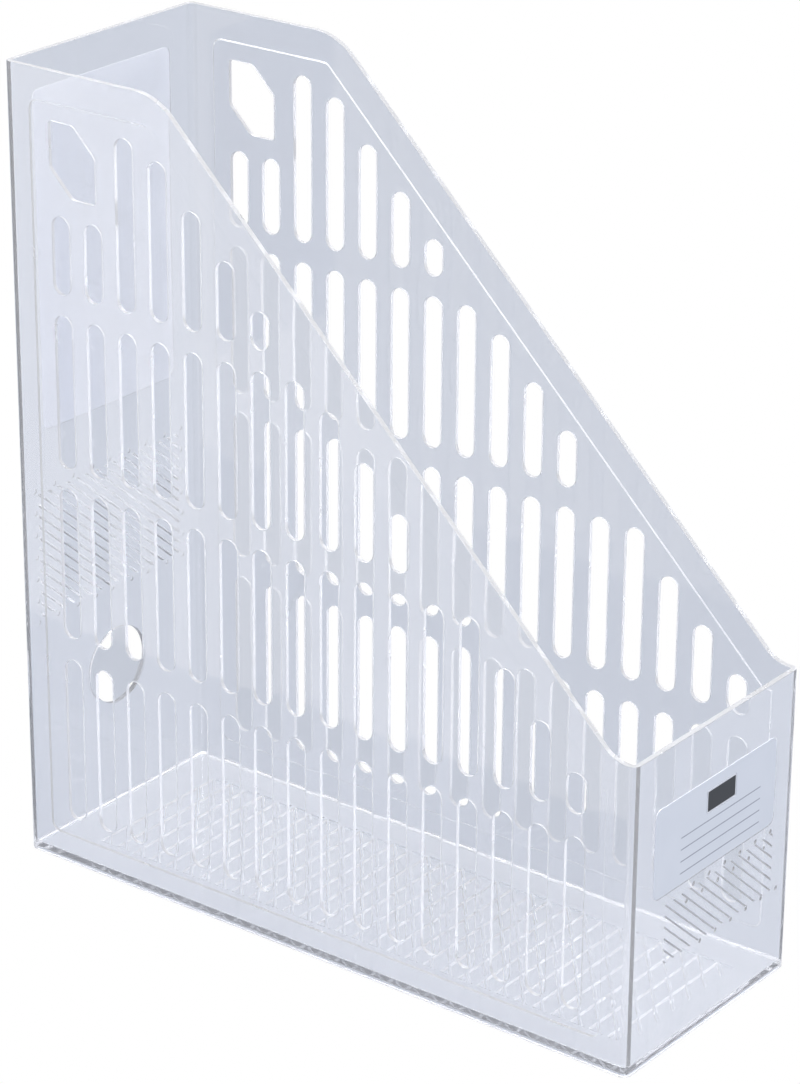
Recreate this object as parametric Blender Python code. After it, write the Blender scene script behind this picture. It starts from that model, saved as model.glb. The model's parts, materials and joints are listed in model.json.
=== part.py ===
"""Clear polystyrene magazine file: pierced side walls, a tall spine wall, a low front wall,
a floor, two labels and a small blank badge.

Metres, +Z up. The origin is at the bottom centre, the low front faces -Y and the spine +Y.
"""
import math

import bmesh
import bpy
from mathutils import Matrix, Vector

MM = 0.001

# Driving dimensions of the holder
WIDTH = 101 * MM
DEPTH = 275 * MM
HEIGHT = 310 * MM
FRONT_HEIGHT = 118.5 * MM
WALL = 2.2 * MM
CORNER_RADIUS = 3.0 * MM
JOINT_GAP = 0.3 * MM

# Side wall profile: level by the spine, then one long slope down to a short level by the front
TOP_LEVEL = 70 * MM
FRONT_LEVEL = 9 * MM
SHOULDER_RADIUS = 22 * MM
TOE_RADIUS = 12 * MM

# Slots through the side walls
SLOT_COLUMNS = 16
SLOT_PITCH = 15.1 * MM
SLOT_WIDTH = 8.0 * MM
SLOT_TO_SLOPE = 24.4 * MM
SLOT_ROWS = (
    (19.0 * MM, 85.0 * MM),
    (94.0 * MM, 153.5 * MM),
    (161.5 * MM, 220.0 * MM),
    (228.0 * MM, 291.5 * MM),
)
SHORTEST_SLOT = 12 * MM
SLOT_STEPS = 4

# Six-sided finger hole near the top of each side wall, and the short slots below it
GRIP_FROM_SPINE = (20 * MM, 41 * MM)
GRIP_HEIGHTS = (264.5 * MM, 291.5 * MM)
GRIP_CHAMFER = (10.5 * MM, 9.5 * MM)
GRIP_CORNER = 2.0 * MM
GRIP_COLUMNS = 2
GRIP_SLOT_TOP = 257 * MM

# Round finger hole low in the spine wall
PULL_RADIUS = 15.5 * MM
PULL_HEIGHT = 59 * MM

# Floor plate, raised clear of the surface that the holder stands on
FLOOR_TOP = 3.0 * MM
FLOOR_THICKNESS = 2.0 * MM

# Labels lie flush in shallow recesses, one gap clear of the recess floor
LABEL_THICKNESS = 0.3 * MM
RECESS_DEPTH = LABEL_THICKNESS + JOINT_GAP
FRONT_LABEL = (75 * MM, 34 * MM)
FRONT_LABEL_HEIGHT = 80 * MM
FRONT_LABEL_RADIUS = 3 * MM
BADGE = (18 * MM, 8.6 * MM)
BADGE_OFFSET = (3.0 * MM, 8.2 * MM)
BADGE_RADIUS = 0.6 * MM
SPINE_LABEL = (73 * MM, 129 * MM)
SPINE_LABEL_HEIGHT = 231.5 * MM
SPINE_LABEL_RADIUS = 3 * MM

CLEAR_POLYSTYRENE = ((0.74, 0.78, 0.86, 1.0), 0.08, 0.0)
LABEL_FILM = ((0.80, 0.83, 0.90, 1.0), 0.35, 0.0)
SPINE_PAPER = ((0.86, 0.88, 0.93, 1.0), 0.55, 0.0)
BADGE_FOIL = ((0.02, 0.02, 0.022, 1.0), 0.30, 0.0)


def clear_scene():
    for item in list(bpy.data.objects):
        bpy.data.objects.remove(item, do_unlink=True)


def material(name, finish):
    colour, roughness, metallic = finish
    made = bpy.data.materials.new(name)
    made.use_nodes = True
    shader = made.node_tree.nodes["Principled BSDF"]
    shader.inputs["Base Color"].default_value = colour
    shader.inputs["Roughness"].default_value = roughness
    shader.inputs["Metallic"].default_value = metallic
    return made


def rounded_outline(corners, radii, steps):
    """Corner points joined by straight lines, each corner turned into an arc of its own radius."""
    points = []
    count = len(corners)
    for index, corner in enumerate(corners):
        here = Vector(corner)
        before = (Vector(corners[index - 1]) - here).normalized()
        after = (Vector(corners[(index + 1) % count]) - here).normalized()
        radius = radii[index]
        if radius == 0:
            points.append(here)
            continue
        half_angle = before.angle(after) / 2
        centre = here + (before + after).normalized() * (radius / math.sin(half_angle))
        start = here + before * (radius / math.tan(half_angle)) - centre
        turn = start.angle_signed(here + after * (radius / math.tan(half_angle)) - centre)
        for step in range(steps + 1):
            angle = -turn * step / steps
            points.append(centre + Matrix.Rotation(angle, 2) @ start)
    return points


def slot_outline(centre, width, height, steps):
    """An upright slot with full-round ends."""
    radius = width / 2
    straight = height / 2 - radius
    points = []
    for end, first in ((1, 0.0), (-1, math.pi)):
        for step in range(steps + 1):
            angle = first + math.pi * step / steps
            along = centre[0] + radius * math.cos(angle)
            points.append((along, centre[1] + end * straight + radius * math.sin(angle)))
    return points


def pierced_plate(name, outline, holes, thickness, place, finish):
    """A flat plate: an outline with holes, filled and extruded by its thickness along local Z."""
    mesh = bpy.data.meshes.new(name)
    shape = bmesh.new()
    edges = []
    for loop in [outline] + holes:
        corners = [shape.verts.new((point[0], point[1], 0.0)) for point in loop]
        for index, corner in enumerate(corners):
            edges.append(shape.edges.new((corner, corners[(index + 1) % len(corners)])))
    filled = bmesh.ops.triangle_fill(shape, edges=edges, use_beauty=True, use_dissolve=False)
    faces = [item for item in filled["geom"] if isinstance(item, bmesh.types.BMFace)]
    grown = bmesh.ops.extrude_face_region(shape, geom=faces, use_keep_orig=True)
    raised = [item for item in grown["geom"] if isinstance(item, bmesh.types.BMVert)]
    bmesh.ops.translate(shape, verts=raised, vec=(0.0, 0.0, thickness))
    bmesh.ops.recalc_face_normals(shape, faces=shape.faces)
    shape.transform(place)
    if place.determinant() < 0:
        bmesh.ops.reverse_faces(shape, faces=shape.faces)
    shape.to_mesh(mesh)
    shape.free()
    made = bpy.data.objects.new(name, mesh)
    bpy.context.collection.objects.link(made)
    made.data.materials.append(finish)
    return made


def slope_height(from_spine):
    """Height of the side wall's sloping edge at a distance from the spine's outer face."""
    run = DEPTH - FRONT_LEVEL - TOP_LEVEL
    return HEIGHT - (from_spine - TOP_LEVEL) * (HEIGHT - FRONT_HEIGHT) / run


def side_slots():
    """Slots of one side wall as outlines over (distance from the spine's outer face, height)."""
    first = (DEPTH - SLOT_PITCH * (SLOT_COLUMNS - 1)) / 2
    outlines = []
    for bottom, level_top in SLOT_ROWS:
        for column in range(SLOT_COLUMNS):
            middle = first + SLOT_PITCH * column
            top = min(level_top, slope_height(middle) - SLOT_TO_SLOPE)
            if bottom == SLOT_ROWS[-1][0] and column < GRIP_COLUMNS:
                top = GRIP_SLOT_TOP
            if top - bottom < SHORTEST_SLOT:
                continue
            outlines.append(slot_outline((middle, (bottom + top) / 2), SLOT_WIDTH, top - bottom, SLOT_STEPS))
    return outlines


def grip_outline():
    near, far = GRIP_FROM_SPINE
    low, high = GRIP_HEIGHTS
    along, down = GRIP_CHAMFER
    corners = (
        (near, high),
        (near, low + down),
        (near + along, low),
        (far, low),
        (far, high - down),
        (far - along, high),
    )
    return rounded_outline(corners, [GRIP_CORNER] * len(corners), 2)


def side_wall(name, side, finish):
    """One side wall, between the corner radii of the two end walls."""
    end = CORNER_RADIUS + JOINT_GAP
    corners = (
        (end, 0.0),
        (DEPTH - end, 0.0),
        (DEPTH - end, FRONT_HEIGHT),
        (DEPTH - FRONT_LEVEL, FRONT_HEIGHT),
        (TOP_LEVEL, HEIGHT),
        (end, HEIGHT),
    )
    outline = rounded_outline(corners, (0, 0, 0, TOE_RADIUS, SHOULDER_RADIUS, 0), 5)
    inner_face = WIDTH / 2 - WALL
    # Local X runs from the spine to the front, local Y is up, and local Z is the wall's outward normal.
    place = Matrix(
        (
            (0.0, 0.0, side, side * inner_face),
            (-1.0, 0.0, 0.0, DEPTH / 2),
            (0.0, 1.0, 0.0, 0.0),
            (0.0, 0.0, 0.0, 1.0),
        )
    )
    return pierced_plate(name, outline, side_slots() + [grip_outline()], WALL, place, finish)


def end_wall(name, end, height, finish):
    """A wall across one end (+1 spine, -1 front), with the two rounded corners of the holder."""
    half = WIDTH / 2
    face = DEPTH / 2
    shoulder = face - CORNER_RADIUS
    corners = (
        (-half, shoulder),
        (-half + WALL, shoulder),
        (-half + WALL, face - WALL),
        (half - WALL, face - WALL),
        (half - WALL, shoulder),
        (half, shoulder),
        (half, face),
        (-half, face),
    )
    inner_radius = CORNER_RADIUS - WALL
    radii = (0, 0, inner_radius, inner_radius, 0, 0, CORNER_RADIUS, CORNER_RADIUS)
    outline = rounded_outline(corners, radii, 5)
    place = Matrix.Diagonal((1.0, end, 1.0, 1.0))
    return pierced_plate(name, outline, [], height, place, finish)


def cutter(name, outline, low, high):
    """A prism over (x, z) that spans y from low to high and is used only to cut."""
    place = Matrix(((1, 0, 0, 0), (0, 0, 1, low), (0, 1, 0, 0), (0, 0, 0, 1)))
    made = pierced_plate(name, outline, [], high - low, place, None)
    made.hide_render = True
    made.display_type = "WIRE"
    return made


def cut(target, tool):
    change = target.modifiers.new(tool.name, "BOOLEAN")
    change.operation = "DIFFERENCE"
    change.solver = "EXACT"
    change.object = tool


def rectangle(size, centre, radius, steps=3):
    half_x, half_y = size[0] / 2, size[1] / 2
    corners = [
        (centre[0] - half_x, centre[1] - half_y),
        (centre[0] + half_x, centre[1] - half_y),
        (centre[0] + half_x, centre[1] + half_y),
        (centre[0] - half_x, centre[1] + half_y),
    ]
    return rounded_outline(corners, [radius] * len(corners), steps)


def grown(size, margin):
    return tuple(length + 2 * margin for length in size)


def circle(centre, radius, steps):
    points = []
    for step in range(steps):
        angle = 2 * math.pi * step / steps
        points.append((centre[0] + radius * math.cos(angle), centre[1] + radius * math.sin(angle)))
    return points


def label(name, outline, holes, end, finish):
    """A thin sheet over (x, z) whose outer face is flush with an end wall's outer face."""
    outer = end * DEPTH / 2
    place = Matrix(((1, 0, 0, 0), (0, 0, -end, outer), (0, 1, 0, 0), (0, 0, 0, 1)))
    return pierced_plate(name, outline, holes, LABEL_THICKNESS, place, finish)


def floor_plate(name, finish):
    inset = WALL + JOINT_GAP
    outline = rectangle(
        (WIDTH - 2 * inset, DEPTH - 2 * inset),
        (0.0, 0.0),
        CORNER_RADIUS - WALL,
        2,
    )
    place = Matrix.Translation((0.0, 0.0, FLOOR_TOP - FLOOR_THICKNESS))
    return pierced_plate(name, outline, [], FLOOR_THICKNESS, place, finish)


def build():
    clear_scene()
    clear = material("clear_polystyrene", CLEAR_POLYSTYRENE)

    side_wall("left_side_wall", -1, clear)
    side_wall("right_side_wall", 1, clear)
    floor_plate("floor_plate", clear)

    front = end_wall("front_wall", -1, FRONT_HEIGHT, clear)
    spine = end_wall("spine_wall", 1, HEIGHT, clear)
    reach = 5 * MM

    front_centre = (0.0, FRONT_LABEL_HEIGHT)
    front_face = -DEPTH / 2
    recess = rectangle(grown(FRONT_LABEL, JOINT_GAP), front_centre, FRONT_LABEL_RADIUS + JOINT_GAP)
    cut(front, cutter("front_recess_cutter", recess, front_face - reach, front_face + RECESS_DEPTH))

    spine_centre = (0.0, SPINE_LABEL_HEIGHT)
    spine_face = DEPTH / 2
    recess = rectangle(grown(SPINE_LABEL, JOINT_GAP), spine_centre, SPINE_LABEL_RADIUS + JOINT_GAP)
    cut(spine, cutter("spine_recess_cutter", recess, spine_face - RECESS_DEPTH, spine_face + reach))
    pull = circle((0.0, PULL_HEIGHT), PULL_RADIUS, 24)
    cut(spine, cutter("pull_hole_cutter", pull, spine_face - reach, spine_face + reach))

    badge_centre = (front_centre[0] + BADGE_OFFSET[0], front_centre[1] + BADGE_OFFSET[1])
    window = rectangle(grown(BADGE, JOINT_GAP), badge_centre, BADGE_RADIUS + JOINT_GAP)
    sheet = rectangle(FRONT_LABEL, front_centre, FRONT_LABEL_RADIUS)
    label("front_label", sheet, [window], -1, material("label_film", LABEL_FILM))
    badge = rectangle(BADGE, badge_centre, BADGE_RADIUS)
    label("front_badge", badge, [], -1, material("badge_foil", BADGE_FOIL))
    sheet = rectangle(SPINE_LABEL, spine_centre, SPINE_LABEL_RADIUS)
    label("spine_label", sheet, [], 1, material("spine_paper", SPINE_PAPER))


build()
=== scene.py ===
# %% [markdown]
# # A clear magazine file, cell by cell
# The real object is one injection moulding in clear polystyrene, with a film label and a small
# badge on its low front and a paper label on its tall spine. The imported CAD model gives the
# frame: every size that it holds is read from it, and the moulding that replaces its five plain
# walls is built in the same place.

import json
import math

import bmesh
import bpy
from mathutils import Matrix, Vector

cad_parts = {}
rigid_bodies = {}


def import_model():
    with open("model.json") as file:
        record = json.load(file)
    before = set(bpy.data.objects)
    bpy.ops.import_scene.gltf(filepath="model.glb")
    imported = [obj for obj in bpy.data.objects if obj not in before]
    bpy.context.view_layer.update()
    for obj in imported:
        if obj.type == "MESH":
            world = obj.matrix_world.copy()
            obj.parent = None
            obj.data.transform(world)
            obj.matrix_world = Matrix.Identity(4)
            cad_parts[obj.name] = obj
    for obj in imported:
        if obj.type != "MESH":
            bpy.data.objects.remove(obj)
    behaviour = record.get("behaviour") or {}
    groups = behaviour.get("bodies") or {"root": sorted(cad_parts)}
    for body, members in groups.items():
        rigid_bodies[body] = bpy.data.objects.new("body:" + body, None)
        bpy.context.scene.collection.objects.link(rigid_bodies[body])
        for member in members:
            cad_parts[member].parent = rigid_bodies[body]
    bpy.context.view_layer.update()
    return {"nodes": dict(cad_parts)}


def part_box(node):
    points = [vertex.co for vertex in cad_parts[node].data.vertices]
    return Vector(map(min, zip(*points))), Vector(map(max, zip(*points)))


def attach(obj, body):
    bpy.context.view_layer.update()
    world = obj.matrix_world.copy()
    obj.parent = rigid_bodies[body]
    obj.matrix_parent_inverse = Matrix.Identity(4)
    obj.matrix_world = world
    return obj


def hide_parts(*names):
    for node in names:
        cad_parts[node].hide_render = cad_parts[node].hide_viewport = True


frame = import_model()
MM = 0.001

# %% [markdown]
# ## Sizes
# The outside of the holder comes from the boxes of the CAD nodes. The outline of the side wall
# and its slots repeat the CAD design's own driving dimensions, in millimetres turned to metres,
# because a node's box says nothing of what lies inside it.

# %% Sizes read from the frame
spine_low, spine_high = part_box("spine_wall")
front_low, front_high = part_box("front_wall")
side_low, side_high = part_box("left_side_wall")
floor_low, floor_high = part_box("floor_plate")
WIDTH = spine_high.x - spine_low.x
DEPTH = spine_high.y - front_low.y
HEIGHT = spine_high.z
FRONT_HEIGHT = front_high.z
WALL = side_high.x - side_low.x
FLOOR_TOP = floor_high.z
FLOOR_UNDERSIDE = floor_low.z
FRONT_FACE = front_low.y
SPINE_FACE = spine_high.y
print("holder in mm:", round(WIDTH / MM, 1), round(DEPTH / MM, 1), round(HEIGHT / MM, 1))

# %% Sizes of the side walls' outline and openings
CORNER_RADIUS = 3.0 * MM
TOP_LEVEL = 70 * MM
FRONT_LEVEL = 9 * MM
SHOULDER_RADIUS = 22 * MM
TOE_RADIUS = 12 * MM
SLOT_COLUMNS = 16
SLOT_PITCH = 15.1 * MM
SLOT_WIDTH = 8.0 * MM
SLOT_TO_SLOPE = 24.4 * MM
SLOT_ROWS = ((19.0, 85.0), (94.0, 153.5), (161.5, 220.0), (228.0, 291.5))
SHORTEST_SLOT = 12 * MM
GRIP_FROM_SPINE = (20 * MM, 41 * MM)
GRIP_HEIGHTS = (264.5 * MM, 291.5 * MM)
GRIP_CHAMFER = 10 * MM
GRIP_CORNER = 2.0 * MM
GRIP_COLUMNS = 2
GRIP_SLOT_TOP = 257 * MM
PULL_RADIUS = 15.5 * MM
PULL_HEIGHT = 59 * MM
SLOPE = (HEIGHT - FRONT_HEIGHT) / (DEPTH - FRONT_LEVEL - TOP_LEVEL)
SLOPE_ANGLE = math.atan(SLOPE)

# %% [markdown]
# ## Helpers for modelling by hand in code
# Blender's operators act on whatever is selected. The frame arrives selected, so each helper
# first deselects all, and picks faces or edges by where they are.

# %% Select, add and cut
def only(thing):
    """Makes one object the selected and active one."""
    bpy.ops.object.select_all(action="DESELECT")
    thing.select_set(True)
    bpy.context.view_layer.objects.active = thing


def block(name, low, high):
    """A box between two corners, at the origin with its place in its mesh."""
    low, high = Vector(low), Vector(high)
    bpy.ops.object.select_all(action="DESELECT")
    bpy.ops.mesh.primitive_cube_add(size=1, location=(low + high) / 2)
    made = bpy.context.object
    made.scale = high - low
    made.name = made.data.name = name
    bpy.ops.object.transform_apply(location=True, rotation=True, scale=True)
    return made


def edit(thing, kind, wanted):
    """Opens edit mode with only the faces, edges or vertices selected that wanted says yes to."""
    only(thing)
    bpy.ops.object.mode_set(mode="EDIT")
    bpy.ops.mesh.select_mode(type=kind)
    bpy.ops.mesh.select_all(action="DESELECT")
    shape = bmesh.from_edit_mesh(thing.data)
    parts = {"VERT": shape.verts, "EDGE": shape.edges, "FACE": shape.faces}[kind]
    for part in parts:
        if wanted(part):
            part.select_set(True)
    shape.select_flush_mode()
    bmesh.update_edit_mesh(thing.data)


def leave_edit():
    bpy.ops.object.mode_set(mode="OBJECT")


def runs_along(edge, axis):
    """True for an edge that is parallel to axis 0, 1 or 2."""
    across = edge.verts[1].co - edge.verts[0].co
    return abs(across[axis]) > 0.999 * across.length


def round_edges(thing, wanted, radius, steps):
    """Rounds the picked edges. The width is the distance from the old edge to where the arc starts."""
    edit(thing, "EDGE", wanted)
    bpy.ops.mesh.bevel(offset=radius, segments=steps, profile=0.5, affect="EDGES", clamp_overlap=False)
    leave_edit()


def cut(body, tool, operation="DIFFERENCE"):
    """Cuts the tool out of the body for good, and removes the tool."""
    only(body)
    change = body.modifiers.new("cut", "BOOLEAN")
    change.operation = operation
    change.solver = "EXACT"
    change.object = tool
    bpy.ops.object.modifier_apply(modifier=change.name)
    bpy.data.objects.remove(tool)


def joined(things):
    bpy.ops.object.select_all(action="DESELECT")
    for thing in things:
        thing.select_set(True)
    bpy.context.view_layer.objects.active = things[0]
    if len(things) > 1:
        bpy.ops.object.join()
    return bpy.context.object


# %% [markdown]
# ## The moulding's outer shape
# Seen from the side the holder is level at the top, runs down a long slope and ends in a short
# level rim at the front. It could be drawn as a polygon and extruded, but a block can also be
# pushed into that shape: split its top where the slope starts and ends, pull the rear part up,
# and drop the slope's lower edge back down. Bevels then round the shoulder and the toe.

# %% A block in the shape of the side profile
def side_profile(name, x_low, x_high, margin, shoulder_radius, toe_radius):
    """A solid with the holder's side outline, drawn in by margin all round."""
    rear, front = SPINE_FACE - margin, FRONT_FACE + margin
    drawn_in = margin * math.tan(SLOPE_ANGLE / 2)
    shoulder = SPINE_FACE - TOP_LEVEL + drawn_in
    toe = FRONT_FACE + FRONT_LEVEL + drawn_in
    low, high = FRONT_HEIGHT - margin, HEIGHT - margin
    made = block(name, (x_low, front, margin), (x_high, rear, low))
    for place in (shoulder, toe):
        edit(made, "FACE", lambda face: True)
        bpy.ops.mesh.bisect(plane_co=(0, place, 0), plane_no=(0, 1, 0))
        leave_edit()
    edit(made, "FACE", lambda face: face.normal.z > 0.9 and face.calc_center_median().y > toe)
    bpy.ops.mesh.extrude_region_move(TRANSFORM_OT_translate={"value": (0, 0, high - low)})
    leave_edit()
    edit(made, "VERT", lambda vert: abs(vert.co.y - toe) < 1e-6 and abs(vert.co.z - high) < 1e-6)
    bpy.ops.transform.translate(value=(0, 0, low - high))
    bpy.ops.mesh.select_all(action="SELECT")
    bpy.ops.mesh.remove_doubles(threshold=0.00001)
    bpy.ops.mesh.dissolve_limited(angle_limit=math.radians(1))
    leave_edit()
    for place, level, radius in ((shoulder, high, shoulder_radius), (toe, low, toe_radius)):
        if radius > 0:
            round_edges(
                made,
                lambda edge: runs_along(edge, 0)
                and abs(edge.verts[0].co.y - place) < 1e-5
                and abs(edge.verts[0].co.z - level) < 1e-5,
                radius * math.tan(SLOPE_ANGLE / 2),
                8,
            )
    return made


body = side_profile("moulded_body", -WIDTH / 2, WIDTH / 2, 0.0, SHOULDER_RADIUS, TOE_RADIUS)
round_edges(body, lambda edge: runs_along(edge, 2), CORNER_RADIUS, 12)
print("outer shape:", len(body.data.polygons), "faces")

# %% [markdown]
# ## Hollowing it out
# A moulding tool has a core that leaves the inside, and draws straight up. Here the core is a
# block with the inner size, its upright edges rounded to keep the wall even, and its lower
# edges rounded to leave the small fillet where the walls meet the floor. A second, shallow
# block from below leaves the rim that the holder stands on.

# %% Core and underside
FILLET = 0.75 * MM
RIM_FILLET = 0.6 * MM
OVER = 10 * MM
HAIR = 0.02 * MM
inner_x, inner_y = WIDTH / 2 - WALL, DEPTH / 2 - WALL

core = block("core", (-inner_x, -inner_y, FLOOR_TOP), (inner_x, inner_y, HEIGHT + OVER))
round_edges(core, lambda edge: runs_along(edge, 2), CORNER_RADIUS - WALL, 6)
round_edges(core, lambda edge: max(vert.co.z for vert in edge.verts) < FLOOR_TOP + 1e-6, FILLET, 4)
cut(body, core)

hollow = block("underside", (-inner_x, -inner_y, -OVER), (inner_x, inner_y, FLOOR_UNDERSIDE))
round_edges(hollow, lambda edge: runs_along(edge, 2), CORNER_RADIUS - WALL, 6)
round_edges(
    hollow,
    lambda edge: min(vert.co.z for vert in edge.verts) > FLOOR_UNDERSIDE - 1e-6,
    RIM_FILLET,
    2,
)
cut(body, hollow)
print("hollowed:", len(body.data.polygons), "faces")

# %% [markdown]
# ## Soft edges
# Nothing comes out of a mould with a perfectly sharp edge, and on clear plastic it is the
# rounded edges that catch the light. A Bevel modifier limited by angle rounds the rims at once;
# it is applied, so that the mesh itself has the edge. It comes before the openings, whose
# rims are rounded by their own cutters.

# %% Round every rim
EDGE_RADIUS = 0.35 * MM
only(body)
soften = body.modifiers.new("soften", "BEVEL")
soften.width = EDGE_RADIUS
soften.segments = 2
soften.limit_method = "ANGLE"
soften.angle_limit = math.radians(50)
soften.use_clamp_overlap = False
bpy.ops.object.modifier_apply(modifier=soften.name)
print("softened:", len(body.data.polygons), "faces")

# %% [markdown]
# ## Recesses for the labels
# The film on the front and the sheet on the spine lie flush with the outer faces, so each wall
# has a shallow recess with the label's own outline. Its place and size are read from the label.

# %% Cut the label recesses
LABEL_CLEARANCE = 0.3 * MM
LABEL_CORNER = 3.3 * MM
RECESS_DEPTH = 0.36 * MM

for node, face, inward in (("front_label", FRONT_FACE, 1), ("spine_label", SPINE_FACE, -1)):
    low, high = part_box(node)
    ends = (face - inward * OVER, face + inward * RECESS_DEPTH)
    recess = block(
        "recess",
        (low.x - LABEL_CLEARANCE, min(ends), low.z - LABEL_CLEARANCE),
        (high.x + LABEL_CLEARANCE, max(ends), high.z + LABEL_CLEARANCE),
    )
    round_edges(recess, lambda edge: runs_along(edge, 1), LABEL_CORNER, 4)
    cut(body, recess)
print("recessed:", len(body.data.polygons), "faces")

# %% [markdown]
# ## The floor's low lattice
# The floor is stiffened by straight ribs across it, with short slanting links between them.
# What lies between ribs and links is a shallow pocket, a sloping four-sided one, so one pocket
# is shaped and copied over the floor. The copies are trimmed to the lattice's own rectangle.

# %% Model one pocket
RIB_PITCH = 8.1 * MM
RIB_WIDTH = 1.2 * MM
RIB_ROWS = 31
FIRST_RIB = 20.5 * MM
LINK_PITCH = 10.2 * MM
LINK_WIDTH = 0.9 * MM
POCKET_DEPTH = 0.8 * MM
DRAFT = 0.5 * MM
LATTICE_HALF = 33.4 * MM


def copy_moved(pattern, move):
    """A copy with its own mesh, moved inside that mesh."""
    made = pattern.copy()
    made.data = pattern.data.copy()
    made.data.transform(Matrix.Translation(move))
    bpy.context.collection.objects.link(made)
    return made


def trimmed(things, low, high):
    """The things joined, and cut off at the faces of a box."""
    whole = joined(things)
    cut(whole, block("trim", low, high), "INTERSECT")
    return whole


half_x, half_y = (LINK_PITCH - LINK_WIDTH) / 2, (RIB_PITCH - RIB_WIDTH) / 2
pocket = block("pocket", (-half_x, -half_y, FLOOR_TOP - POCKET_DEPTH), (half_x, half_y, FLOOR_TOP + HAIR))
edit(pocket, "FACE", lambda face: face.normal.y > 0.9)
bpy.ops.transform.translate(value=(RIB_PITCH, 0, 0))
leave_edit()
edit(pocket, "FACE", lambda face: face.normal.z < -0.9)
bpy.ops.transform.resize(value=(1 - DRAFT / half_y, 1 - DRAFT / half_y, 1))
leave_edit()

# %% Copy the pocket over the floor and cut
pockets = []
for row in range(RIB_ROWS - 1):
    place_y = SPINE_FACE - FIRST_RIB - RIB_PITCH * (row + 0.5)
    for column in range(-5, 5):
        pockets.append(copy_moved(pocket, (LINK_PITCH * column, place_y, 0)))
bpy.data.objects.remove(pocket)
print("pockets:", len(pockets))
cut(
    body,
    trimmed(
        pockets,
        (-LATTICE_HALF, FRONT_FACE + WALL, FLOOR_TOP - 2 * POCKET_DEPTH),
        (LATTICE_HALF, SPINE_FACE - WALL, FLOOR_TOP + OVER),
    ),
)

# %% [markdown]
# ## Moulded patterns on the spine and the front
# Under each label the wall carries a moulded pattern of slanting strokes that end in round
# pips. On clear plastic such a pattern only shows if its faces bend the light, so it is cut as
# real V-grooves and dimples and not painted on.

# %% Strokes and pips
STROKE_SECTION = 0.85 * MM
STROKE_PITCH = 4.4 * MM
STROKE_ANGLE = math.radians(40.8)
PIP_RADIUS = 1.3 * MM
PIP_DEPTH = 0.45 * MM
PIP_PITCH = (10.2 * MM, 8.8 * MM)


def strokes(face, low_x, high_x, low_z, high_z, section=STROKE_SECTION):
    """A block of slanting grooves that centre on one wall face."""
    middle = ((low_x + high_x) / 2, face, (low_z + high_z) / 2)
    fall = math.tan(STROKE_ANGLE) * (high_x - low_x)
    length = math.hypot(high_x - low_x, fall) + 4 * STROKE_PITCH
    half = section / 2
    stroke = block("stroke", (-length / 2, -half, -half), (length / 2, half, half))
    for turn in ((math.radians(45), 0, 0), (0, STROKE_ANGLE, 0)):
        stroke.rotation_euler = turn
        only(stroke)
        bpy.ops.object.transform_apply(location=True, rotation=True, scale=True)
    count = int((high_z - low_z + fall) / STROKE_PITCH / 2) + 1
    made = [
        copy_moved(stroke, (middle[0], middle[1], middle[2] + STROKE_PITCH * number))
        for number in range(-count, count + 1)
    ]
    bpy.data.objects.remove(stroke)
    return trimmed(made, (low_x, face - OVER, low_z), (high_x, face + OVER, high_z))


def pips(face, outward, places):
    """Round dimples at the given (x, z) places on one wall face."""
    bpy.ops.object.select_all(action="DESELECT")
    bpy.ops.mesh.primitive_uv_sphere_add(segments=16, ring_count=9, radius=PIP_RADIUS)
    pip = bpy.context.object
    standing = face + outward * (PIP_RADIUS - PIP_DEPTH)
    made = [copy_moved(pip, (x, standing, z)) for x, z in places]
    bpy.data.objects.remove(pip)
    return joined(made)


# %% Pattern on the spine
SPINE_PATTERN = (-41.7 * MM, 39.9 * MM, 91.5 * MM, 144.3 * MM)
GAP = 1.6 * MM
low_x, high_x, low_z, high_z = SPINE_PATTERN
cut(body, strokes(SPINE_FACE, low_x + GAP, high_x - GAP, low_z + GAP, high_z - GAP))
border = [
    (low_x + PIP_PITCH[0] * column, low_z + PIP_PITCH[1] * row)
    for column in range(9)
    for row in range(7)
    if column in (0, 8) or row in (0, 6)
]
cut(body, pips(SPINE_FACE, 1, border))
print("spine pattern:", len(border), "pips")

# %% Pattern on the front
FRONT_PATTERN = (-30.0 * MM, 37.9 * MM, 35.9 * MM, 58.9 * MM)
FRONT_SECTION = 0.55 * MM
FRONT_DOTS_FROM = -12.8 * MM
FRONT_DOT_PITCH = 9.75 * MM
FRONT_DOTS = ((0, 60.0 * MM), (-4 * MM, 55.0 * MM), (5.5 * MM, 35.3 * MM))
low_x, high_x, low_z, high_z = FRONT_PATTERN
cut(body, strokes(FRONT_FACE, low_x, high_x, low_z, high_z, FRONT_SECTION))
dots = [
    (FRONT_DOTS_FROM + FRONT_DOT_PITCH * column + offset, level)
    for offset, level in FRONT_DOTS
    for column in range(6)
]
cut(body, pips(FRONT_FACE, -1, dots))
print("front pattern:", len(dots), "pips;", len(body.data.polygons), "faces in all")

# %% [markdown]
# ## The sunk panel of each side wall
# Each side wall has a flat border about 12 mm wide, and inside it the panel with the slots is
# sunk by half a millimetre. The step is chamfered, which is what draws the bright double line
# that follows the slope. The same side profile, drawn in and only skin deep, cuts it.

# %% Sink the panels
PANEL_MARGIN = 11.5 * MM
PANEL_DEPTH = 0.55 * MM
PANEL_CORNER = 4.0 * MM

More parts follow.
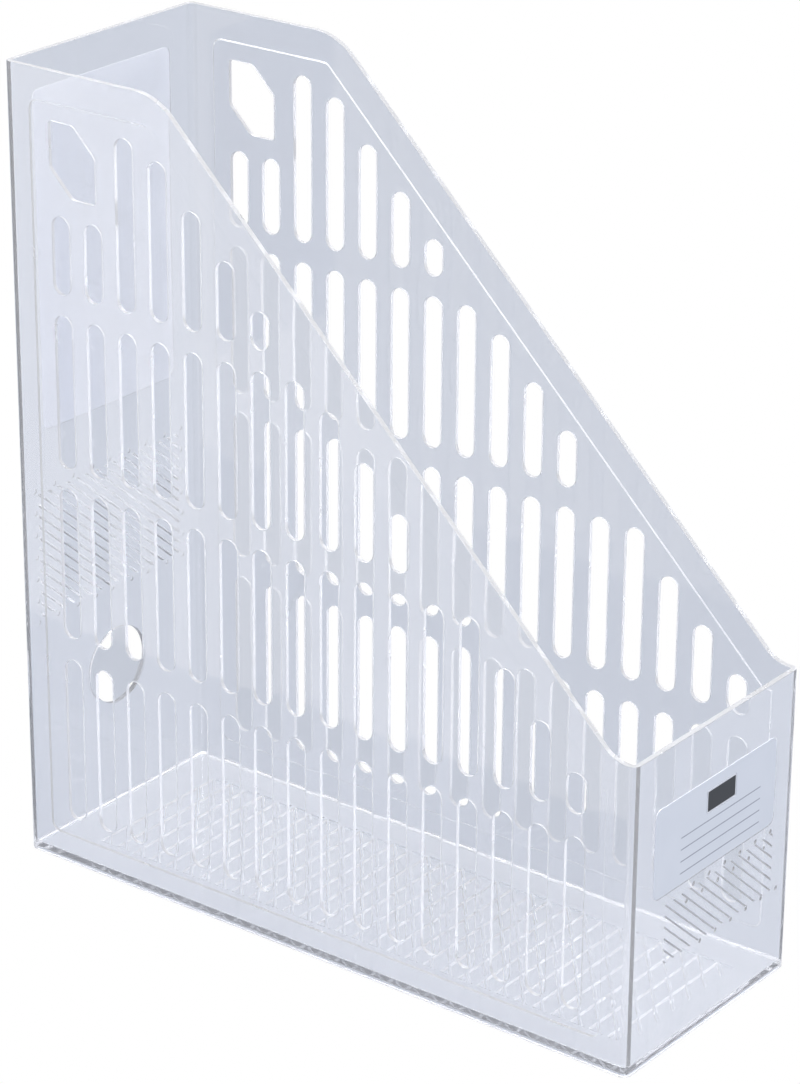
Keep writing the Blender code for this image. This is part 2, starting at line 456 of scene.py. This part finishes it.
for side in (-1, 1):
    outside, inside = side * (WIDTH / 2 + OVER), side * (WIDTH / 2 - PANEL_DEPTH)
    panel = side_profile(
        "panel", min(outside, inside), max(outside, inside), PANEL_MARGIN, PANEL_CORNER, 0
    )
    round_edges(
        panel,
        lambda edge: runs_along(edge, 0)
        and (edge.verts[0].co.z < PANEL_MARGIN + 1e-5 or edge.verts[0].co.z > HEIGHT - PANEL_MARGIN - 1e-5)
        and abs(abs(edge.verts[0].co.y) - (DEPTH / 2 - PANEL_MARGIN)) < 1e-5,
        PANEL_CORNER,
        4,
    )
    round_edges(
        panel,
        lambda edge: all(abs(vert.co.x - inside) < 1e-6 for vert in edge.verts),
        PANEL_DEPTH * 0.95,
        1,
    )
    cut(body, panel)
print("panels sunk:", len(body.data.polygons), "faces")

# %% [markdown]
# ## Slots and finger holes
# The slots of the two side walls line up, so one cutter goes through both. A single short
# cutter with full-round ends is modelled once, then copied to each place and stretched by
# moving its upper half. The slots stop in line with the slope. Where a cutter passes a face of a
# wall it is a little wider, by a quarter round, and so it leaves a rounded rim.

# %% Cutters that leave rounded rims
def flare(tool, axis, walls, radius=EDGE_RADIUS):
    """Widens a prism along an axis outside the walls, with a quarter round at each of their faces.

    The rings of vertices are moved in code, because each ring needs its own distance. The faces
    of the walls are passed by a hair, so that no ring of the cutter lies exactly in a face.
    """
    walls = [(low - HAIR, high + HAIR) for low, high in walls]
    shallow = radius * (1 - math.sqrt(0.5))
    normal = Vector((axis == 0, axis == 1, axis == 2))
    for low, high in walls:
        for place in (low, low + shallow, low + radius, high - radius, high - shallow, high):
            edit(tool, "FACE", lambda face: True)
            bpy.ops.mesh.bisect(plane_co=normal * place, plane_no=normal)
            leave_edit()
    shape = bmesh.new()
    shape.from_mesh(tool.data)
    shape.normal_update()
    moves = []
    for vert in shape.verts:
        depth = max(min(vert.co[axis] - low, high - vert.co[axis]) for low, high in walls)
        missing = radius - min(max(depth, 0), radius)
        outward = Vector()
        for face in vert.link_faces:
            if abs(face.normal[axis]) < 0.5:
                outward += face.normal
        moves.append(outward.normalized() * (radius - math.sqrt(radius**2 - missing**2)))
    for vert, move in zip(shape.verts, moves):
        vert.co += move
    shape.to_mesh(tool.data)
    shape.free()


panel_face = WIDTH / 2 - PANEL_DEPTH
SIDE_WALLS = ((-panel_face, -inner_x), (inner_x, panel_face))

# %% One slot cutter, copied and stretched
def slope_height(from_spine):
    return HEIGHT - (from_spine - TOP_LEVEL) * SLOPE


def slot_cutter(pattern, from_spine, bottom, top):
    made = pattern.copy()
    made.data = pattern.data.copy()
    bpy.context.collection.objects.link(made)
    for vert in made.data.vertices:
        raised = top - SLOT_WIDTH if vert.co.z > SLOT_WIDTH / 2 else bottom
        vert.co.z += raised
        vert.co.y += SPINE_FACE - from_spine
    return made


reach = WIDTH / 2 + OVER
pattern = block("slot", (-reach, -SLOT_WIDTH / 2, 0), (reach, SLOT_WIDTH / 2, SLOT_WIDTH))
round_edges(pattern, lambda edge: runs_along(edge, 0), SLOT_WIDTH * 0.499, 8)
flare(pattern, 0, SIDE_WALLS)
slots = []
for bottom, level_top in SLOT_ROWS:
    for column in range(SLOT_COLUMNS):
        from_spine = DEPTH / 2 + SLOT_PITCH * (column - (SLOT_COLUMNS - 1) / 2)
        top = min(level_top * MM, slope_height(from_spine) - SLOT_TO_SLOPE)
        if bottom == SLOT_ROWS[-1][0] and column < GRIP_COLUMNS:
            top = GRIP_SLOT_TOP
        if top - bottom * MM >= SHORTEST_SLOT:
            slots.append(slot_cutter(pattern, from_spine, bottom * MM, top))
bpy.data.objects.remove(pattern)
print("slots:", len(slots))
cut(body, joined(slots))

# %% The six-sided grip holes and the round pull hole
near, far = (SPINE_FACE - distance for distance in GRIP_FROM_SPINE)
grip_middle = ((near + far) / 2, sum(GRIP_HEIGHTS) / 2)
grip = block("grip", (-reach, far, GRIP_HEIGHTS[0]), (reach, near, GRIP_HEIGHTS[1]))
round_edges(
    grip,
    lambda edge: runs_along(edge, 0)
    and (edge.verts[0].co.y < grip_middle[0]) == (edge.verts[0].co.z > grip_middle[1]),
    GRIP_CHAMFER,
    1,
)
round_edges(grip, lambda edge: runs_along(edge, 0), GRIP_CORNER * 0.6, 4)
flare(grip, 0, SIDE_WALLS)
cut(body, grip)

bpy.ops.object.select_all(action="DESELECT")
bpy.ops.mesh.primitive_cylinder_add(
    vertices=64,
    radius=PULL_RADIUS,
    depth=4 * OVER,
    location=(0, SPINE_FACE, PULL_HEIGHT),
    rotation=(math.pi / 2, 0, 0),
)
pull = bpy.context.object
bpy.ops.object.transform_apply(location=True, rotation=True, scale=True)
flare(pull, 1, ((inner_y, SPINE_FACE),))
cut(body, pull)
print("pierced:", len(body.data.polygons), "faces")

# %% [markdown]
# ## Clean shading
# Flat faces beside small rounds pick up false shadows if every normal is simply averaged.
# Smoothing by angle keeps real corners, and the Weighted Normal modifier lets the large flat
# faces win over the small ones, so that the walls reflect as flat sheets.

# %% Shade the moulding
only(body)
bpy.ops.object.shade_smooth_by_angle(angle=math.radians(35))
even = body.modifiers.new("even shading", "WEIGHTED_NORMAL")
even.keep_sharp = True
bpy.ops.object.modifier_apply(modifier=even.name)
triangles = sum(len(face.vertices) - 2 for face in body.data.polygons)
print("moulded body:", triangles, "triangles")

# %% [markdown]
# ## The badge
# The badge is a thin plate with a fine raised frame round a dark field. A plain box has the
# place and size already; an inset draws the frame and a push sinks the field.

# %% Model the badge
BADGE_FRAME = 0.45 * MM
BADGE_SINK = 0.08 * MM
BADGE_CORNER = 0.6 * MM
badge_low, badge_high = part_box("front_badge")
badge = block("badge_plate", badge_low, badge_high)
round_edges(badge, lambda edge: runs_along(edge, 1), BADGE_CORNER, 4)
edit(badge, "FACE", lambda face: face.normal.y < -0.9)
bpy.ops.mesh.inset(thickness=BADGE_FRAME)
bpy.ops.mesh.extrude_region_move(TRANSFORM_OT_translate={"value": (0, BADGE_SINK, 0)})
leave_edit()
print("badge in mm:", [round(length / MM, 1) for length in badge_high - badge_low])

# %% [markdown]
# ## Materials: colours and nodes
# Colours are written as sRGB hex, as a paint chart gives them, and one function turns them to the
# linear values that a shader wants. One helper adds any node with its settings and its links.

# %% Colour and node helpers
def linear(hex_colour):
    channels = [int(hex_colour[place : place + 2], 16) / 255 for place in (1, 3, 5)]
    return [c / 12.92 if c <= 0.04045 else ((c + 0.055) / 1.055) ** 2.4 for c in channels] + [1]


def add_node(material, kind, inputs=None, **settings):
    """Adds a node. Inputs are values, or other nodes' sockets to link."""
    tree = material.node_tree
    node = tree.nodes.new(kind)
    for name, value in settings.items():
        setattr(node, name, value)
    for name, value in (inputs or {}).items():
        if isinstance(value, bpy.types.NodeSocket):
            tree.links.new(value, node.inputs[name])
        else:
            node.inputs[name].default_value = value
    return node


def new_material(name):
    material = bpy.data.materials.new(name)
    material.use_nodes = True
    material.node_tree.nodes.clear()
    return material


def give(thing, *materials):
    thing.data.materials.clear()
    for material in materials:
        thing.data.materials.append(material)


# %% [markdown]
# ## Clear moulded polystyrene
# Polystyrene (IOR 1.59) is glassy and glossy, with a faint blue toner against yellowing. Moulding
# leaves a slight waviness a few centimetres long, and handling a little uneven gloss. A dense
# shadow is what plain glass shaders give, so light that goes to a lamp passes straight through.
# Where the two halves of the mould shut against each other, in the slots and along the rim, the
# surface is duller and scatters light, which makes every edge glow pale. The same duller finish
# goes on the sloping sides of the floor's pockets, on the panels' steps and on the lowest edge.

# %% Moulded clear polystyrene
WAVE_LENGTH = 30 * MM
WAVE_HEIGHT = 0.2 * MM
HANDLING_SIZE = 18 * MM


def clear_polystyrene(name, clearness, gloss_range):
    """Clearness is the share of light that isn't scattered at the surface."""
    material = new_material(name)
    place = add_node(material, "ShaderNodeTexCoord").outputs["Object"]
    waves = add_node(
        material,
        "ShaderNodeTexNoise",
        {"Vector": place, "Scale": 1 / WAVE_LENGTH, "Detail": 1.0},
    )
    wavy = add_node(
        material,
        "ShaderNodeBump",
        {"Height": waves.outputs["Fac"], "Strength": 1.0, "Distance": WAVE_HEIGHT},
    )
    handled = add_node(
        material,
        "ShaderNodeTexNoise",
        {"Vector": place, "Scale": 1 / HANDLING_SIZE, "Detail": 3.0},
    )
    gloss = add_node(
        material,
        "ShaderNodeMapRange",
        {
            "Value": handled.outputs["Fac"],
            "From Min": 0.35,
            "From Max": 0.7,
            "To Min": gloss_range[0],
            "To Max": gloss_range[1],
        },
    )
    plastic = add_node(
        material,
        "ShaderNodeBsdfPrincipled",
        {
            "Base Color": linear("#FEFEFF"),
            "Transmission Weight": clearness,
            "IOR": 1.59,
            "Roughness": gloss.outputs["Result"],
            "Normal": wavy.outputs["Normal"],
        },
    )
    through = add_node(material, "ShaderNodeBsdfTransparent", {"Color": linear("#FAFBFF")})
    ray = add_node(material, "ShaderNodeLightPath")
    mixed = add_node(
        material,
        "ShaderNodeMixShader",
        {0: ray.outputs["Is Shadow Ray"], 1: plastic.outputs[0], 2: through.outputs[0]},
    )
    add_node(material, "ShaderNodeOutputMaterial", {"Surface": mixed.outputs[0]})
    return material


polystyrene = clear_polystyrene("clear moulded polystyrene", 0.92, (0.015, 0.05))
cut_edge = clear_polystyrene("polystyrene shut-off edges", 0.6, (0.18, 0.3))
give(body, polystyrene, cut_edge)
edges = 0
for face in body.data.polygons:
    x, y, z = (abs(face.center.x), face.center.y, face.center.z)
    mid_wall = inner_x + EDGE_RADIUS / 2 < x < panel_face - EDGE_RADIUS / 2
    in_opening = mid_wall and abs(y) < inner_y - MM and abs(face.normal.x) < 0.5
    rim_level = HEIGHT if y > 0 else FRONT_HEIGHT
    on_rim = face.normal.z > 0.9 and abs(z - rim_level) < EDGE_RADIUS / 2
    pocket_level = FLOOR_TOP - POCKET_DEPTH < z < FLOOR_TOP - HAIR
    in_pocket = pocket_level and x < LATTICE_HALF and 0.05 < face.normal.z < 0.98
    on_step = (
        x > panel_face + HAIR
        and abs(y) < SPINE_FACE - PANEL_MARGIN / 2
        and 0.3 < abs(face.normal.x) < 0.9
    )
    if in_opening or on_rim or in_pocket or z < EDGE_RADIUS or (on_step and z > PANEL_MARGIN):
        face.material_index = 1
        edges += 1
print("edge faces:", edges)
for name in ("left_side_wall", "right_side_wall", "spine_wall", "front_wall", "floor_plate"):
    give(frame["nodes"][name], polystyrene)

# %% [markdown]
# ## Frosted label film
# The front label is polyester film with a matt, faintly blue frost. It hides what lies behind,
# so it is made opaque here, and carries four ruled writing lines in thin grey print. Its colour
# is darker than real film, because the front light of this stage is strong.

# %% Frosted polyester film with ruled lines
RULE_PITCH = 4.57 * MM
RULE_LOWEST = 67.2 * MM
RULE_COUNT = 4
RULE_HALF_WIDTH = 0.22 * MM
RULE_X = (-21.5 * MM, 28.0 * MM)


CLOUD_SIZE = 20 * MM


def frosted_film():
    material = new_material("frosted polyester label film")
    place = add_node(material, "ShaderNodeTexCoord").outputs["Object"]
    axes = add_node(material, "ShaderNodeSeparateXYZ", {"Vector": place})

    def near(value, centre, reach):
        """1 where the value is within reach of the centre."""
        return add_node(
            material, "ShaderNodeMath", {0: value, 1: centre, 2: reach}, operation="COMPARE"
        ).outputs[0]

    from_rule = add_node(
        material,
        "ShaderNodeMath",
        {0: axes.outputs["Z"], 1: RULE_LOWEST},
        operation="SUBTRACT",
    )
    off_rule = add_node(
        material, "ShaderNodeMath", {0: from_rule.outputs[0], 1: RULE_PITCH / 2}, operation="PINGPONG"
    )
    rule_span = RULE_PITCH * (RULE_COUNT - 1)
    on_line = near(off_rule.outputs[0], 0.0, RULE_HALF_WIDTH)
    in_height = near(axes.outputs["Z"], RULE_LOWEST + rule_span / 2, rule_span / 2 + RULE_PITCH / 4)
    in_width = near(axes.outputs["X"], sum(RULE_X) / 2, (RULE_X[1] - RULE_X[0]) / 2)
    both = add_node(material, "ShaderNodeMath", {0: on_line, 1: in_height}, operation="MULTIPLY")
    ruled = add_node(material, "ShaderNodeMath", {0: both.outputs[0], 1: in_width}, operation="MULTIPLY")
    cloud = add_node(
        material,
        "ShaderNodeTexNoise",
        {"Vector": place, "Scale": 1 / CLOUD_SIZE, "Detail": 2.0},
    )
    tone = add_node(
        material,
        "ShaderNodeMix",
        {0: cloud.outputs["Fac"], 6: linear("#C3C8D2"), 7: linear("#CDD1DA")},
        data_type="RGBA",
    )
    colour = add_node(
        material,
        "ShaderNodeMix",
        {0: ruled.outputs[0], 6: tone.outputs[2], 7: linear("#8A8F9C")},
        data_type="RGBA",
    )
    film = add_node(
        material,
        "ShaderNodeBsdfPrincipled",
        {"Base Color": colour.outputs[2], "Roughness": 0.42, "IOR": 1.6, "Coat Weight": 0.15},
    )
    add_node(material, "ShaderNodeOutputMaterial", {"Surface": film.outputs[0]})
    return material


give(frame["nodes"]["front_label"], frosted_film())

# %% [markdown]
# ## Coated paper of the spine label
# The sheet on the spine is plain coated paper. It lies on the far side of the clear wall, so it
# shows as an even pale field; very fine fibre grain keeps it from looking like plastic. Its
# colour too is darker than real paper, to suit the strong front light.

# %% Coated paper
FIBRE_SIZE = 1.2 * MM


def coated_paper():
    material = new_material("pale coated paper")
    place = add_node(material, "ShaderNodeTexCoord").outputs["Object"]
    fibre = add_node(
        material,
        "ShaderNodeTexNoise",
        {"Vector": place, "Scale": 1 / FIBRE_SIZE, "Detail": 4.0},
    )
    tone = add_node(
        material,
        "ShaderNodeMix",
        {0: fibre.outputs["Fac"], 6: linear("#AFB2B9"), 7: linear("#B8BBC1")},
        data_type="RGBA",
    )
    grain = add_node(
        material,
        "ShaderNodeBump",
        {"Height": fibre.outputs["Fac"], "Strength": 0.4, "Distance": 0.01 * MM},
    )
    paper = add_node(
        material,
        "ShaderNodeBsdfPrincipled",
        {"Base Color": tone.outputs[2], "Roughness": 0.7, "Normal": grain.outputs["Normal"]},
    )
    add_node(material, "ShaderNodeOutputMaterial", {"Surface": paper.outputs[0]})
    return material


give(frame["nodes"]["spine_label"], coated_paper())

# %% [markdown]
# ## Badge foil
# The badge is black lacquered foil with a bare silver-white frame. The two finishes are two
# materials on the same plate, given to its faces by where they are.

# %% Lacquered foil and its frame
FOIL_GRAIN = 0.8 * MM


def plain_finish(name, colour, roughness, metallic=0.0, coat=0.0):
    material = new_material(name)
    place = add_node(material, "ShaderNodeTexCoord").outputs["Object"]
    grain = add_node(
        material,
        "ShaderNodeTexNoise",
        {"Vector": place, "Scale": 1 / FOIL_GRAIN, "Detail": 2.0},
    )
    pressed = add_node(
        material,
        "ShaderNodeBump",
        {"Height": grain.outputs["Fac"], "Strength": 0.5, "Distance": 0.01 * MM},
    )
    finish = add_node(
        material,
        "ShaderNodeBsdfPrincipled",
        {
            "Base Color": linear(colour),
            "Roughness": roughness,
            "Metallic": metallic,
            "Coat Weight": coat,
            "Normal": pressed.outputs["Normal"],
        },
    )
    add_node(material, "ShaderNodeOutputMaterial", {"Surface": finish.outputs[0]})
    return material


black_foil = plain_finish("black lacquered foil", "#17181B", 0.32, coat=0.4)
frame_foil = plain_finish("silver-white foil edge", "#C9CCD3", 0.35)
give(badge, black_foil, frame_foil)
give(frame["nodes"]["front_badge"], black_foil)
field_level = badge_low.y + BADGE_SINK
for face in badge.data.polygons:
    on_field = abs(face.center.y - field_level) < 0.2 * BADGE_SINK and face.normal.y < -0.9
    face.material_index = 0 if on_field else 1

# %% [markdown]
# ## Tie the new pieces to the frame
# The one-piece shell stands for the five plain walls of the CAD model, and the framed badge for
# its plain one. Both stand still, so they ride on the root body.

# %% Replace and ride
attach(body, "root")
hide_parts("left_side_wall", "right_side_wall", "spine_wall", "front_wall", "floor_plate")
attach(badge, "root")
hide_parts("front_badge")

# %% [markdown]
# ## Stage
# Clear plastic shows only what it bends and mirrors, so the surroundings are most of its look.
# The ground and the sky are white where they are seen directly and a light grey-blue where they
# are seen through or in the plastic, as in a studio with a lit white sweep and dimmer walls. A
# white card lies behind on the left, where the near wall mirrors it.

# %% Ground, sky and card
def glowing(name, direct, indirect):
    """An even glow that may differ between a direct look and light that comes by way of the object."""
    material = new_material(name)
    ray = add_node(material, "ShaderNodeLightPath")
    seen = add_node(material, "ShaderNodeEmission", {"Color": linear(direct), "Strength": 1.0})
    other = add_node(material, "ShaderNodeEmission", {"Color": linear(indirect), "Strength": 1.0})
    mixed = add_node(
        material,
        "ShaderNodeMixShader",
        {0: ray.outputs["Is Camera Ray"], 1: other.outputs[0], 2: seen.outputs[0]},
    )
    add_node(material, "ShaderNodeOutputMaterial", {"Surface": mixed.outputs[0]})
    return material


def sheet_of(name, size, location, material):
    bpy.ops.object.select_all(action="DESELECT")
    bpy.ops.mesh.primitive_plane_add(size=1, location=location)
    made = bpy.context.object
    made.scale = (size[0], size[1], 1)
    made.name = name
    bpy.ops.object.transform_apply(location=True, rotation=True, scale=True)
    give(made, material)
    return made


STUDIO_GREY = "#BDC3CF"
EYE = Vector((-0.9912, -0.7588, 0.6814))
LOOK_AT = Vector((0.0468, 0.0356, 0.121))
ROLL = math.radians(0.403)
sheet_of("ground", (12, 12), (0, 0, -0.2 * MM), glowing("lit sweep", "#FFFFFF", STUDIO_GREY))
sheet_of("card", (0.9, 1.2), (-0.66, 0.45, -0.1 * MM), glowing("white card", "#FFFFFF", "#FFFFFF"))


# %% Sky
scene = bpy.context.scene
scene.cycles.max_bounces = 48
scene.cycles.transmission_bounces = 48
scene.cycles.diffuse_bounces = 8
scene.cycles.transparent_max_bounces = 32
world = bpy.data.worlds.new("studio")
scene.world = world
world.use_nodes = True
world.node_tree.nodes.clear()
ray = add_node(world, "ShaderNodeLightPath")
sky = add_node(world, "ShaderNodeBackground", {"Color": linear("#FFFFFF")})
room = add_node(world, "ShaderNodeBackground", {"Color": linear("#FAFBFF"), "Strength": 0.88})
mixed = add_node(
    world,
    "ShaderNodeMixShader",
    {0: ray.outputs["Is Camera Ray"], 1: room.outputs[0], 2: sky.outputs[0]},
)
add_node(world, "ShaderNodeOutputWorld", {"Surface": mixed.outputs[0]})

# %% Soft boxes
AIM = Vector((0, 0, 0.15))


def soft_box(name, place, size, watts):
    lamp = bpy.data.lights.new(name, "AREA")
    lamp.shape = "RECTANGLE"
    lamp.size, lamp.size_y = size
    lamp.energy = watts
    made = bpy.data.objects.new(name, lamp)
    made.location = place
    made.rotation_euler = (AIM - Vector(place)).to_track_quat("-Z", "Y").to_euler()
    bpy.context.collection.objects.link(made)


soft_box("key", (-0.35, -1.7, 1.1), (0.7, 0.7), 18)
soft_box("back", (0.7, 0.9, 1.7), (0.5, 0.7), 10)
soft_box("top", (-0.3, 0.2, 1.8), (0.6, 0.6), 8)

# %% [markdown]
# ## Camera
# A long lens from a little above, looking at the low front's corner, keeps the uprights nearly
# parallel. The view transform is the plain one, so that white stays white.

# %% Camera and view
camera_data = bpy.data.cameras.new("camera")
camera = bpy.data.objects.new("camera", camera_data)
bpy.context.collection.objects.link(camera)
camera_data.lens = 126.7
camera.location = EYE
turned = (LOOK_AT - EYE).to_track_quat("-Z", "Y").to_matrix() @ Matrix.Rotation(ROLL, 3, "Z")
camera.rotation_euler = turned.to_euler()
scene.camera = camera
scene.view_settings.view_transform = "Standard"
print("camera distance in m:", round((LOOK_AT - EYE).length, 2))
